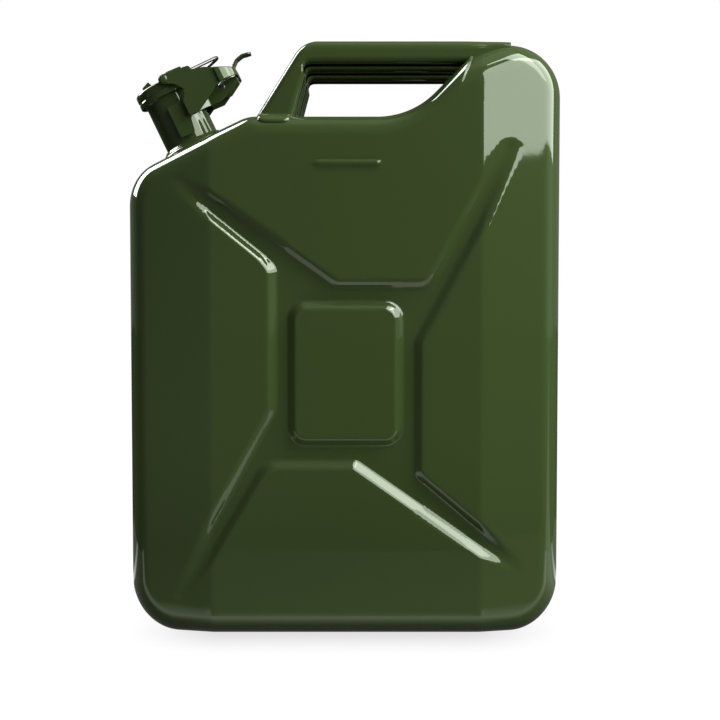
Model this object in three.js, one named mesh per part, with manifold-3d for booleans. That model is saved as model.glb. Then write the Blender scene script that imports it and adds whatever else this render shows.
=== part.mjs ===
// Steel jerry can of the twenty litre class: two deep-pressed halves joined on a recessed seam,
// three channel handles, and a tilted filler neck with a lever closure.
// Millimetres, +Z up, +X towards the rear hump, front pressing towards -Y.
// The origin lies under the middle of the base.
import * as THREE from 'three';
import { mergeVertices } from 'three/addons/utils/BufferGeometryUtils.js';
import Module from 'manifold-3d';

const wasm = await Module();
wasm.setup();

// Sheet and clearances
const sheet = 1.0;
const plate = 1.6;
const gap = 0.3;

// Body outline, seen from the front
const bodyWidth = 345;
const bodyDepth = 165;
const baseCornerRadius = 40;
const topZ = 408.4;
const shoulderFall = 46.1;
const shoulderFootRadius = 36;
const shoulderRun = 96.5;
const shoulderTopRadius = 30;
const saddleFromRear = 119.7;
const saddleRadius = 64;
const humpEdgeFromRear = 72;
const humpEdgeRise = 48.5;
const humpEdgeRadius = 12;
const humpCornerRise = 77.6;
const humpCornerRadius = 41;

// Each side turns from its wall in a tight edge, a wide crown and a crease at the flat panel
const sideEdgeRadius = 18;
const sideCrownRadius = 154;
const sideCreaseRadius = 8;
const crownFromDegrees = 40;
const crownToDegrees = 17;

// The other edges turn in one plain round: how far in from the outline, and how far in depth
const baseRound = { inset: 16, run: 16 };
const humpRound = { inset: 30, run: 37.5 };
const slopeRound = { inset: 20, run: 24.5 };
const topRound = { inset: 16, run: 16 };
const shoulderRound = { inset: 18, run: 18 };
const panelRadii = [12, 12, 6, 10, 80, 22, 12];
const plainTurns = [90, 68, 45, 22, 8, 0];
const cornerSteps = 7;

// Recess in which the two halves meet
const seamRecess = 5;
const seamFloorHalf = 5;
const seamHalf = 8;
const weldHalf = 2.5;
const weldHeight = 1.2;

// Pressed X channel and middle boss, on the front panel
const channelDepth = 5.5;
const channelWall = 5.5;
const armTipHalf = 2.5;
const bossX = 1;
const bossHalfWidth = 45.7;
const bossBottomZ = 149.8;
const bossTopZ = 264.3;
const bossRadius = 13;
const bossWall = 5;
const bossSteps = 5;
const tipsFromSide = [40.5, 41.5, 35, 38];
const upperTipDrops = [49.4, 16.4];
const lowerTipsZ = [30, 48];
const armsFromBossX = [8, 7.6, 18.9, 8.4, 9.7, 22];
const armsFromBossZ = [9.3, 27.2, 28.4, 10.2, 23.8, 24.3];

// Channel handles
const handleWidth = 25;
const handlePitch = 50;
const handleSheet = 1.2;
const handleRise = 58.8;
const handleFlange = 15.3;
const handleBendRadius = 20;
const handleBendSteps = 6;
const handleEndFromRear = 48.5;
const handleLip = 5;
const legFromShoulderTop = 7.9;
const legFootLift = 0.8;
const legSlope = 1.59;
const legWidthAtFoot = 27.1;
const legInnerLean = 8.4;
const legInnerDrop = 25.8;
const barStart = 5.1;
const pinchBack = 0.8;
const pinchDrop = 3.5;
const padFront = 3;
const padDrop = 7;
const padHeight = 1.3;

// Closure, in the frame of the shoulder: u along the shoulder, w along the neck
const neckFromShoulderTop = 51.5;
const neckRadius = 22.3;
const neckWall = 1.5;
const neckTopW = 53;
const neckFootW = -4;
const neckLipRadius = 23.8;
const neckLipHeight = 3;
const collarRadius = 29;
const collarTopW = 9;
const collarTopThickness = 1.6;
const roundSteps = 40;

const gasketThickness = 3.2;
const gasketInnerRadius = 10;
const retainerRadius = 17.5;
const retainerThickness = 1.4;
const rivetRadius = 2;
const rivetHeadRadius = 4.6;
const rivetHeadHeight = 0.9;
const capRadius = 26.6;
const capSheet = 1.2;
const capSkirtDrop = 2.8;
const capRimHeight = 4.3;
const capRimWidth = 4.6;
const gasketFootW = neckTopW + gap;
const gasketTopW = gasketFootW + gasketThickness;
const capDishW = gasketTopW + gap + capSheet;
const capTopW = capDishW + capRimHeight;
const capSkirtW = neckTopW - capSkirtDrop;

const pinAboveDish = 3.4;
const crossPin = { u: 2.6, w: capDishW + pinAboveDish, radius: 1.8, headRadius: 3.4, headHeight: 1.5 };
const hingeDrop = 15.2;
const hinge = { u: 42.5, w: neckTopW - hingeDrop, radius: 2.2, headRadius: 3.6, headHeight: 1.6 };
const heelInner = 9.4;
const earInner = heelInner + plate + gap;
const cheekOut = 2.4;
const cheekInner = capRadius + cheekOut;
const padFrontU = -5;
const padBendU = [9, 27];
const earEnd = 12.4;
const earTop = 8;
const bracketFoot = [[-47.5, -24.3], [-35.5, -25.3], [-33, -11.3]];
const earFoot = [[-18.5, -9.6], [-5.5, -10.2], [11.9, -0.4]];
const bracketTop = [[10.5, 2.8], [-33.5, 1.5], [-46.5, 2.7]];
const bracketWebOut = 5;
const bracketWebFrom = -8.8;
const bracketWebTo = 0.2;
const armEndRadius = 4.2;
const cheekTop = [[-6.2, 18.4], [3.2, 13.5]];
const cheekFoot = [[3.2, 2.2], [-0.3, 2.6], [-14.2, -6.2], [-20.2, -9.6], [-24.1, -11.6]];
const cheekToe = [[-31.1, -11.8], [-33.1, -9.8]];
const cheekFront = [[6.8, -22.8], [12.6, -15.1]];
const bridge = [[4, 2.6], [16.9, 1.9], [16.7, 3.5], [4.2, 4.2]];
const saddleHalfWidth = 14;
const saddleSheet = 1.0;
const saddleFront = -9;
const saddleRear = 12;
const lugHalfWidth = 7;
const lug = [[-12.6, 3.6], [-13.8, 7.6], [-20.6, 4.6]];
const lugFront = -16.5;
const bailBehindPin = 20;
const bailBelowPin = 1.8;
const bailPivot = { u: crossPin.u + bailBehindPin, w: crossPin.w - bailBelowPin };
const bailWire = 1.4;
const bailHalfWidth = 24;
const bailEndHalfWidth = 3.4;
const bailLength = 25.8;
const bailRise = 3.7;
const bailBend = 3.2;
const bailEyeRadius = 3.3;
const heel = [[-5, -5.3], [3.5, -6.6], [14.1, -0.2], [14.1, 4.2], [-5, 4.7]];
const wallBehindHinge = 14.7;
const wallBend = 12;
const wallSide = [[3.5, 1.9], [10.5, 2.2], [15.3, -0.6], [15.3, 8.8], [7.5, 11.8], [3.5, 13.6]];
const tabHalfWidth = 7;
const tabThickness = 1.8;
const tab = [[13.9, 2.2], [14, 8.2], [15.3, 12.8], [19.3, 16.2], [25.3, 17.7], [32.9, 16.4]];

// Breather tube inside the can
const breatherRadius = 5;
const breatherWall = 1;
const breatherInNeck = [46, 20, -6];
const breatherDrops = [30.4, 21.4, 19.4, 8.4, 24.9];
const breatherShifts = [-6, 36, -22.8, 19.2, 3.5];

const paint = { color: 0x33401f, roughness: 0.28, metalness: 0 };
const zinc = { color: 0xb9bcbf, roughness: 0.3, metalness: 1 };
const rubber = { color: 0x161616, roughness: 0.8, metalness: 0 };

const halfWidth = bodyWidth / 2;
const halfDepth = bodyDepth / 2;
const shoulderFootZ = topZ - shoulderFall;
const humpEdgeZ = topZ + humpEdgeRise;
const humpCornerZ = topZ + humpCornerRise;
const handleTopZ = topZ + handleRise;
const shoulderTopX = shoulderRun - halfWidth;
const saddleX = halfWidth - saddleFromRear;
const humpEdgeX = halfWidth - humpEdgeFromRear;
const shoulderAngle = Math.atan2(topZ - shoulderFootZ, shoulderTopX + halfWidth);

const bodyCorners = [
  { x: -halfWidth, z: 0, r: baseCornerRadius },
  { x: halfWidth, z: 0, r: baseCornerRadius },
  { x: halfWidth, z: humpCornerZ, r: humpCornerRadius },
  { x: humpEdgeX, z: humpEdgeZ, r: humpEdgeRadius },
  { x: saddleX, z: topZ, r: saddleRadius },
  { x: shoulderTopX, z: topZ, r: shoulderTopRadius },
  { x: -halfWidth, z: shoulderFootZ, r: shoulderFootRadius },
];
// Edge i runs from corner i to the next: base, rear side, hump, slope, top, shoulder, front side
const sideRound = crownedRound();
const edgeRounds = [
  plainRound(baseRound),
  sideRound,
  plainRound(humpRound),
  plainRound(slopeRound),
  plainRound(topRound),
  plainRound(shoulderRound),
  sideRound,
];
const panelInsets = edgeRounds.map((round) => round.inset);
const seamInsets = [seamRecess, seamRecess, seamRecess, 0, 0, 0, seamRecess];

// A plain round's stations: share of the way in and share of the depth, from the wall to the panel
function plainRound({ inset, run }) {
  const stations = plainTurns.map((degrees) => {
    const turn = THREE.MathUtils.degToRad(degrees);
    return [1 - Math.sin(turn), Math.cos(turn)];
  });
  return { inset, run, stations };
}

// The stations of a side: tight edge, wide crown, crease
function crownedRound() {
  const radians = THREE.MathUtils.degToRad;
  const from = radians(crownFromDegrees);
  const to = radians(crownToDegrees);
  const edge = (turn) => [sideEdgeRadius * (1 - Math.sin(turn)), sideEdgeRadius * Math.cos(turn)];
  const [edgeIn, edgeRun] = edge(from);
  const crown = (turn) => [
    edgeIn + sideCrownRadius * (Math.sin(from) - Math.sin(turn)),
    edgeRun + sideCrownRadius * (Math.cos(turn) - Math.cos(from)),
  ];
  const [crownIn, crownRun] = crown(to);
  const inset = crownIn + sideCreaseRadius * Math.sin(to);
  const run = crownRun + sideCreaseRadius * (1 - Math.cos(to));
  const edgeMiddle = (Math.PI / 2 + from) / 2;
  const crownMiddle = (from + to) / 2;
  const edgePlaces = [[0, 0], edge(edgeMiddle), [edgeIn, edgeRun]];
  const places = [...edgePlaces, crown(crownMiddle), [crownIn, crownRun], [inset, run]];
  return { inset, run, stations: places.map(([into, deep]) => [into / inset, deep / run]) };
}

// A closed mesh turned into a solid for joining and cutting
function solid(geometry) {
  const bare = geometry.clone();
  bare.deleteAttribute('normal');
  bare.deleteAttribute('uv');
  const merged = mergeVertices(bare, 1e-4);
  const vertProperties = new Float32Array(merged.attributes.position.array);
  const triVerts = new Uint32Array(merged.index.array);
  return new wasm.Manifold(new wasm.Mesh({ numProp: 3, vertProperties, triVerts }));
}

// A joined or cut solid turned back into a mesh geometry
function geometryOf(body) {
  const mesh = body.getMesh();
  const geometry = new THREE.BufferGeometry();
  geometry.setAttribute('position', new THREE.BufferAttribute(mesh.vertProperties, 3));
  geometry.setIndex(new THREE.BufferAttribute(mesh.triVerts, 1));
  geometry.computeVertexNormals();
  return geometry;
}

// Corners of an outline whose edges are each moved inwards by their own amount
function insetCorners(corners, insets, radii) {
  const lines = corners.map((corner, i) => {
    const next = corners[(i + 1) % corners.length];
    const along = new THREE.Vector2(next.x - corner.x, next.z - corner.z).normalize();
    const inward = new THREE.Vector2(-along.y, along.x);
    return { point: new THREE.Vector2(corner.x, corner.z).addScaledVector(inward, insets[i]), along };
  });
  return corners.map((corner, i) => {
    const before = lines[(i + corners.length - 1) % corners.length];
    const after = lines[i];
    const between = after.point.clone().sub(before.point);
    const reach = between.cross(after.along) / before.along.cross(after.along);
    const at = before.point.clone().addScaledVector(before.along, reach);
    return { x: at.x, z: at.y, r: radii[i] };
  });
}

// Points of an outline with every corner rounded by the same number of steps
function roundedOutline(corners, steps) {
  return corners.flatMap((corner, i) => {
    const last = corners[(i + corners.length - 1) % corners.length];
    const next = corners[(i + 1) % corners.length];
    const at = new THREE.Vector2(corner.x, corner.z);
    const back = new THREE.Vector2(last.x, last.z).sub(at).normalize();
    const ahead = new THREE.Vector2(next.x, next.z).sub(at).normalize();
    const half = Math.acos(THREE.MathUtils.clamp(back.dot(ahead), -1, 1)) / 2;
    const sweep = (Math.PI - 2 * half) * Math.sign(-back.cross(ahead));
    const centre = back.clone().add(ahead).normalize().multiplyScalar(corner.r / Math.sin(half)).add(at);
    const start = back.clone().multiplyScalar(corner.r / Math.tan(half)).add(at).sub(centre);
    return Array.from({ length: steps + 1 }, (_, k) => {
      return start.clone().rotateAround(new THREE.Vector2(), (sweep * k) / steps).add(centre);
    });
  });
}

// Triangles of a flat outline, all wound the same way as an anticlockwise outline
function capTriangles(outline) {
  return THREE.ShapeUtils.triangulateShape(outline, []).map(([a, b, c]) => {
    const turn = outline[b].clone().sub(outline[a]).cross(outline[c].clone().sub(outline[a]));
    return turn < 0 ? [a, c, b] : [a, b, c];
  });
}

// Closed skin over rings of equal count, from the rearmost ring to the one nearest -Y
function loft(rings) {
  const count = rings[0].length;
  const index = [];
  for (let k = 0; k + 1 < rings.length; k += 1) {
    for (let i = 0; i < count; i += 1) {
      const a = k * count + i;
      const b = k * count + ((i + 1) % count);
      index.push(a, b, b + count, a, b + count, a + count);
    }
  }
  const flat = (points) => points.map((p) => new THREE.Vector2(p.x, p.z));
  const front = (rings.length - 1) * count;
  capTriangles(flat(rings[0])).forEach(([a, b, c]) => index.push(a, c, b));
  capTriangles(flat(rings.at(-1))).forEach(([a, b, c]) => index.push(front + a, front + b, front + c));
  const geometry = new THREE.BufferGeometry();
  geometry.setFromPoints(rings.flat());
  geometry.setIndex(index);
  return geometry;
}

// The outline points of one ring set at a depth
function ring(outline, y) {
  return outline.map((p) => new THREE.Vector3(p.x, y, p.y));
}

// Corner radii after the whole outline moves inwards: outside corners tighten, the saddle widens
function insetRadii(amount) {
  return bodyCorners.map((corner, i) => corner.r + (i === 4 ? amount : -amount));
}

// The front pressing as a full solid whose skin lies the given amount inside the real one
function pressingSolid(inset, backY) {
  const every = bodyCorners.map(() => inset);
  const radii = insetRadii(inset);
  const outer = roundedOutline(insetCorners(bodyCorners, every, radii), cornerSteps);
  const seamCorners = insetCorners(bodyCorners, seamInsets.map((s) => s + inset), radii);
  const seam = roundedOutline(seamCorners, cornerSteps);
  const panel = roundedOutline(insetCorners(bodyCorners, panelInsets, panelRadii), cornerSteps);
  const rings = [
    ring(seam, backY),
    ring(seam, -seamFloorHalf - inset),
    ring(outer, -seamHalf - inset),
  ];
  for (let k = 0; k < plainTurns.length; k += 1) {
    rings.push(outer.map((p, i) => {
      const corner = Math.floor(i / (cornerSteps + 1));
      const share = (i % (cornerSteps + 1)) / cornerSteps;
      const before = edgeRounds[(corner + edgeRounds.length - 1) % edgeRounds.length];
      const after = edgeRounds[corner];
      const depth = (round) => halfDepth - round.run + (round.run - inset) * round.stations[k][1];
      const into = THREE.MathUtils.lerp(before.stations[k][0], after.stations[k][0], share);
      const at = p.clone().lerp(panel[i], into);
      return new THREE.Vector3(at.x, -THREE.MathUtils.lerp(depth(before), depth(after), share), at.y);
    }));
  }
  return solid(loft(rings));
}

// Edge of the X channel's floor: four arms between the four raised panels, running out over the sides
const bossLeft = bossX - bossHalfWidth;
const bossRight = bossX + bossHalfWidth;
const channelArms = [
  {
    tip: { x: tipsFromSide[0] - halfWidth, z: topZ - upperTipDrops[0] },
    from: { x: bossX - armsFromBossX[0], z: bossTopZ + armsFromBossZ[0] },
    to: { x: bossLeft - armsFromBossX[1], z: bossTopZ + armsFromBossZ[1] },
  },
  {
    tip: { x: tipsFromSide[1] - halfWidth, z: lowerTipsZ[0] },
    from: { x: bossLeft - armsFromBossX[1], z: bossBottomZ + armsFromBossZ[2] },
    to: { x: bossLeft - armsFromBossX[2], z: bossBottomZ - armsFromBossZ[3] },
  },
  {
    tip: { x: halfWidth - tipsFromSide[2], z: lowerTipsZ[1] },
    from: { x: bossX + armsFromBossX[3], z: bossBottomZ - armsFromBossZ[3] },
    to: { x: bossRight + armsFromBossX[4], z: bossBottomZ - armsFromBossZ[4] },
  },
  {
    tip: { x: halfWidth - tipsFromSide[3], z: topZ - upperTipDrops[1] },
    from: { x: bossRight + armsFromBossX[4], z: bossTopZ - armsFromBossZ[5] },
    to: { x: bossRight + armsFromBossX[5], z: bossTopZ + armsFromBossZ[0] },
  },
];

// One arm's floor edge, out along its first panel, round the tip and back along the second
function armEdge({ tip, from, to }) {
  const start = new THREE.Vector2(from.x, from.z);
  const finish = new THREE.Vector2(to.x, to.z);
  const end = new THREE.Vector2(tip.x, tip.z);
  const along = end.clone().sub(start.clone().add(finish).multiplyScalar(0.5)).normalize();
  const aside = new THREE.Vector2(along.y, -along.x).multiplyScalar(armTipHalf);
  return [start, end.clone().add(aside), end.clone().sub(aside), finish];
}

// What the press takes out of the front panel: the X channel, with the boss left standing in it
function channelCutter(grow) {
  const corners = channelArms.flatMap(armEdge).map((p) => ({ x: p.x, z: p.y }));
  const spread = (amount) => {
    const insets = corners.map(() => -amount);
    return insetCorners(corners, insets, insets).map((c) => new THREE.Vector2(c.x, c.z));
  };
  const proudY = -halfDepth - channelDepth;
  const channel = solid(loft([
    ring(spread(grow), -halfDepth + channelDepth + grow),
    ring(spread(grow + 2 * channelWall), proudY + grow),
  ]));
  const bossCorners = [
    { x: bossLeft, z: bossBottomZ, r: bossRadius },
    { x: bossRight, z: bossBottomZ, r: bossRadius },
    { x: bossRight, z: bossTopZ, r: bossRadius },
    { x: bossLeft, z: bossTopZ, r: bossRadius },
  ];
  const taper = (amount) => {
    const insets = bossCorners.map(() => amount);
    return roundedOutline(insetCorners(bossCorners, insets, bossCorners.map((c) => c.r - amount)), bossSteps);
  };
  const boss = solid(loft([
    ring(taper(grow), -halfDepth + channelDepth + grow + sheet),
    ring(taper(grow), -halfDepth + channelDepth + grow),
    ring(taper(grow + bossWall), -halfDepth + grow),
    ring(taper(grow + bossWall), proudY - sheet),
  ]));
  return channel.subtract(boss);
}

// Where the neck meets the shoulder
const neckFoot = new THREE.Vector3(
  shoulderTopX - neckFromShoulderTop * Math.cos(shoulderAngle),
  0,
  topZ - neckFromShoulderTop * Math.sin(shoulderAngle),
);

// Places a geometry made in the closure's frame into the can's frame
function intoCan(geometry) {
  return geometry.rotateY(-shoulderAngle).translate(neckFoot.x, neckFoot.y, neckFoot.z);
}

// A round bar along the neck, for the hole in the shoulder
function neckHole() {
  const bar = new THREE.CylinderGeometry(neckRadius + gap, neckRadius + gap, 3 * collarRadius, roundSteps);
  return solid(intoCan(bar.rotateX(Math.PI / 2)));
}

// A geometry seen in the seam plane as in a mirror, with its faces still pointing out
function mirrored(geometry) {
  const flipped = geometry.clone().scale(1, -1, 1);
  const index = flipped.index.array;
  for (let i = 0; i < index.length; i += 3) {
    [index[i], index[i + 1]] = [index[i + 1], index[i]];
  }
  return flipped;
}

// One pressed half: skin less its hollow, channels and share of the neck hole
function bodyHalf() {
  const skin = pressingSolid(0, -gap / 2).subtract(channelCutter(0));
  const hollow = pressingSolid(sheet, 1).subtract(channelCutter(sheet));
  return geometryOf(skin.subtract(hollow).subtract(neckHole()));
}

// Bead of weld in the seam recess, from the foot of the shoulder round the base to the hump
function seamWeld() {
  const edge = (lift) => {
    const insets = seamInsets.map((s) => s - lift);
    return roundedOutline(insetCorners(bodyCorners, insets, insetRadii(0)), cornerSteps);
  };
  const perCorner = cornerSteps + 1;
  const run = (outline) => [
    ...outline.slice(7 * perCorner - 1),
    ...outline.slice(0, 3 * perCorner),
  ];
  const band = [...run(edge(gap)).reverse(), ...run(edge(gap + weldHeight))];
  const options = { depth: 2 * weldHalf, bevelEnabled: false };
  const bead = new THREE.ExtrudeGeometry(new THREE.Shape(band), options);
  return bead.rotateX(Math.PI / 2).translate(0, weldHalf, 0);
}

// Both halves together as one plain solid, grown by a little, for seating what is welded on
function bodyEnvelope(grow) {
  const front = pressingSolid(-grow, 1);
  return front.add(solid(mirrored(geometryOf(front))));
}

// A side outline given in the plane of the seam, made as thick as it runs from one depth to another
function slab(points, fromY, toY) {
  const options = { depth: toY - fromY, bevelEnabled: false };
  const shape = new THREE.ExtrudeGeometry(new THREE.Shape(points), options);
  return solid(shape.rotateX(Math.PI / 2).translate(0, toY, 0));
}

const legFoot = new THREE.Vector2(shoulderTopX + legFromShoulderTop, topZ + legFootLift);
const handleEndX = halfWidth - handleEndFromRear;
const flangeZ = handleTopZ - handleFlange;

// The handle's top line from below the foot, up the leg, round the bend and back to the hump
function handleBack(inset, footZ, endX) {
  const alongLeg = new THREE.Vector2(1, legSlope).normalize();
  const inward = new THREE.Vector2(alongLeg.y, -alongLeg.x).multiplyScalar(inset);
  const foot = legFoot.clone().add(inward);
  const legX = (z) => foot.x + (z - foot.y) / legSlope;
  const barZ = handleTopZ - inset;
  const corners = [
    { x: legX(footZ), z: footZ, r: 0 },
    { x: legX(barZ), z: barZ, r: handleBendRadius - inset },
    { x: endX, z: barZ, r: 0 },
  ];
  const bend = roundedOutline(corners, handleBendSteps).slice(handleBendSteps + 1, 2 * (handleBendSteps + 1));
  return [new THREE.Vector2(legX(footZ), footZ), ...bend, new THREE.Vector2(endX, barZ)];
}

// The handle's lower line back from the hump, round the pinched inner bend and down the leg
function handleFront(inset, footZ, endX) {
  const foot = new THREE.Vector2(legFoot.x + legWidthAtFoot - inset, legFoot.y);
  const top = new THREE.Vector2(foot.x + legInnerLean, handleTopZ - legInnerDrop);
  const lean = (top.x - foot.x) / (top.y - foot.y);
  return [
    new THREE.Vector2(endX, flangeZ + inset),
    new THREE.Vector2(top.x + barStart + inset, flangeZ + inset),
    new THREE.Vector2(top.x - pinchBack, flangeZ - pinchDrop + inset),
    top,
    new THREE.Vector2(foot.x + (footZ - foot.y) * lean, footZ),
  ];
}

// One handle: a channel with lips turned in along its edges, bent to a leg and a bar, cut to sit on the body
function handle(y, padSide) {
  const buriedZ = topZ - handleWidth;
  const outside = [...handleBack(0, buriedZ, handleEndX), ...handleFront(0, buriedZ, handleEndX)];
  const deepZ = buriedZ - handleSheet;
  const pastX = handleEndX + handleSheet;
  const inside = [...handleBack(handleSheet, deepZ, pastX), ...handleFront(handleSheet, deepZ, pastX)];
  const slot = [...handleBack(handleSheet, deepZ, pastX), ...handleFront(-handleSheet, deepZ, pastX)];
  const edge = handleWidth / 2;
  const hollow = edge - handleSheet;
  const mouth = hollow - handleLip;
  let channel = slab(outside, y - edge, y + edge);
  channel = channel.subtract(slab(inside, y - hollow, y + hollow));
  channel = channel.subtract(slab(slot, y - mouth, y + mouth));
  channel = channel.subtract(bodyEnvelope(gap));
  if (padSide === 0) return geometryOf(channel);
  const lip = bodyEnvelope(gap + padHeight).subtract(bodyEnvelope(gap));
  const outline = [
    new THREE.Vector2(legFoot.x + sheet, topZ - padDrop),
    new THREE.Vector2(legFoot.x + legWidthAtFoot, topZ - padDrop),
    new THREE.Vector2(legFoot.x + legWidthAtFoot, topZ + padDrop),
    new THREE.Vector2(legFoot.x + sheet, topZ + padDrop),
  ];
  const near = y + padSide * (edge - padFront);
  const far = y + padSide * (edge + handleWidth);
  const patch = slab(outline, Math.min(near, far), Math.max(near, far));
  return geometryOf(channel.add(lip.intersect(patch)));
}

// A ring or disc turned about the neck's axis from its half section (radius, height)
function turned(section) {
  const points = [...section, section[0]].map(([r, w]) => new THREE.Vector2(r, w));
  return new THREE.LatheGeometry(points, roundSteps).rotateX(Math.PI / 2);
}

function neckTube() {
  const bore = neckRadius - neckWall;
  return turned([
    [bore, neckFootW],
    [neckRadius, neckFootW],
    [neckRadius, neckTopW - neckLipHeight],
    [neckLipRadius, neckTopW - neckLipHeight + 1],
    [neckLipRadius, neckTopW - 1],
    [neckLipRadius - 1, neckTopW],
    [bore, neckTopW],
  ]);
}

function neckCollar() {
  const inner = neckRadius + gap;
  const neckSide = inner + collarTopThickness;
  return turned([
    [inner, gap],
    [collarRadius, gap],
    [collarRadius - 0.4, gap + 1.2],
    [neckSide + 2.4, gap + 3],
    [neckSide + 0.6, gap + 5.5],
    [neckSide, collarTopW],
    [inner, collarTopW],
  ]);
}

// The lid: a dish inside a solid rolled rim, whose rim is slotted where the cross pin passes
function capLid() {
  const dishFootW = capDishW - capSheet;
  const hole = rivetRadius + gap;
  const rimInner = capRadius - capRimWidth;
  const lid = turned([
    [hole, dishFootW],
    [capRadius - capSheet, dishFootW],
    [capRadius - capSheet, capSkirtW],
    [capRadius, capSkirtW],
    [capRadius, capTopW - 2.6],
    [capRadius - 0.8, capTopW - 0.8],
    [capRadius - 2.2, capTopW],
    [rimInner + 1.4, capTopW],
    [rimInner + 0.4, capTopW - 1],
    [rimInner, capDishW],
    [hole, capDishW],
  ]);
  const slotHalf = crossPin.radius + gap;
  const slotFootW = crossPin.w - slotHalf;
  const slot = new THREE.BoxGeometry(2 * slotHalf, 3 * capRadius, 2 * slotHalf + capTopW - slotFootW);
  slot.translate(crossPin.u, 0, slotFootW + slotHalf + (capTopW - slotFootW) / 2);
  return geometryOf(solid(lid).subtract(solid(slot)));
}

function capGasket() {
  const outer = capRadius - capSheet - gap;
  return turned([
    [gasketInnerRadius, gasketFootW],
    [outer - 0.6, gasketFootW],
    [outer, gasketFootW + 0.6],
    [outer, gasketTopW],
    [gasketInnerRadius, gasketTopW],
  ]);
}

const retainerTopW = gasketFootW - gap;
const retainerFootW = retainerTopW - retainerThickness;

function gasketRetainer() {
  return turned([
    [rivetRadius + gap, retainerFootW],
    [retainerRadius - 0.5, retainerFootW],
    [retainerRadius, retainerFootW + 0.5],
    [retainerRadius, retainerTopW],
    [rivetRadius + gap, retainerTopW],
  ]);
}

function capRivet() {
  const footW = retainerFootW - gap;
  const topW = capDishW + gap;
  return turned([
    [0, footW - rivetHeadHeight],
    [rivetHeadRadius - 0.8, footW - rivetHeadHeight],
    [rivetHeadRadius, footW],
    [rivetRadius, footW],
    [rivetRadius, topW],
    [rivetHeadRadius, topW],
    [rivetHeadRadius - 0.8, topW + rivetHeadHeight],
    [0, topW + rivetHeadHeight],
  ]);
}

// A round pin across the closure with a flat head at each end
function headedPin({ radius, headRadius, headHeight }, seatV) {
  const half = seatV + gap;
  const section = [
    [0, -half - headHeight],
    [headRadius - 0.7, -half - headHeight],
    [headRadius, -half - headHeight + 0.7],
    [headRadius, -half],
    [radius, -half],
    [radius, half],
    [headRadius, half],
    [headRadius, half + headHeight - 0.7],
    [headRadius - 0.7, half + headHeight],
    [0, half + headHeight],
  ];
  const points = section.map(([r, v]) => new THREE.Vector2(r, v));
  return new THREE.LatheGeometry(points, 24);
}

// Points of an arc in the closure's side view, from one angle to another in degrees
function arc(centre, radius, fromDegrees, toDegrees, steps) {
  return Array.from({ length: steps + 1 }, (_, k) => {
    const turn = THREE.MathUtils.degToRad(fromDegrees + ((toDegrees - fromDegrees) * k) / steps);
    return new THREE.Vector2(centre.u + radius * Math.cos(turn), centre.w + radius * Math.sin(turn));
  });
}

// Side-view outline from plain pairs, measured from a pin or from the neck's foot
function outlineOf(pairs, from = { u: 0, w: 0 }) {
  return pairs.map(([u, w]) => new THREE.Vector2(from.u + u, from.w + w));
}

// A plan outline in (u, v) standing from one height to another
function upright(plan, fromW, toW) {
  const options = { depth: toW - fromW, bevelEnabled: false };
  return solid(new THREE.ExtrudeGeometry(new THREE.Shape(plan), options).translate(0, 0, fromW));
}

// A running hole right across the closure for one of its pins
function pinHole({ u, w, radius }) {
  const bore = radius + gap;
  return solid(new THREE.CylinderGeometry(bore, bore, 3 * capRadius, 24).translate(u, 0, w));
}

// The same plate on both sides of the closure
function bothSides(points, innerV, thickness) {
  const far = slab(points, innerV, innerV + thickness);
  return far.add(slab(points, -innerV - thickness, -innerV));
}

// Strap with a flat pad on each side of the neck, drawn together behind it into two ears with a web between
function hingeBracket() {
  const padV = neckRadius + gap;
  const endU = hinge.u + earEnd;
  const bend = Math.atan2(padV - earInner, padBendU[1] - padBendU[0]);
  const outside = plate * Math.tan(bend / 2);
  const plan = [
    [padFrontU, padV],
    [padBendU[0], padV],
    [padBendU[1], earInner],
    [endU, earInner],
    [endU, earInner + plate],
    [padBendU[1] + outside, earInner + plate],
    [padBendU[0] + outside, padV + plate],
    [padFrontU, padV + plate],
  ];
  const topW = hinge.w + earTop;
  let straps = upright(outlineOf(plan), 0, topW);
  straps = straps.add(upright(outlineOf(plan.map(([u, v]) => [u, -v]).reverse()), 0, topW));
  const side = [bracketFoot, earFoot, bracketTop].flatMap((pairs) => outlineOf(pairs, hinge));
  straps = straps.intersect(slab(side, -padV - 2 * plate, padV + 2 * plate));
  const webU = neckRadius + bracketWebOut;
  const webFootW = hinge.w + bracketWebFrom;
  const webTopW = hinge.w + bracketWebTo;
  const webFoot = [[webU, webFootW], [webU + plate, webFootW]];
  const web = outlineOf([...webFoot, [webU + plate, webTopW], [webU, webTopW]]);
  straps = straps.add(slab(web, -earInner - plate / 2, earInner + plate / 2));
  return geometryOf(straps.subtract(pinHole(hinge)));
}

// Two cheeks whose arms reach the cross pin, the bridge over the lid, and an eye for the bail in each cheek
function leverYoke() {
  const cheek = [
    ...arc(crossPin, armEndRadius, 250, 70, 8),
    ...arc(bailPivot, bailEyeRadius, 95, 0, 4),
    ...outlineOf(cheekTop, hinge),
    ...outlineOf(cheekFoot, hinge),
    ...outlineOf(cheekToe, hinge),
    ...outlineOf(cheekFront, crossPin),
  ];
  let yoke = bothSides(cheek.reverse(), cheekInner, plate);
  const reach = cheekInner + plate / 2;
  yoke = yoke.add(slab(outlineOf(bridge, crossPin), -reach, reach));
  yoke = yoke.subtract(pinHole({ ...bailPivot, radius: bailWire }));
  return geometryOf(yoke.subtract(pinHole(crossPin)));
}

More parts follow.
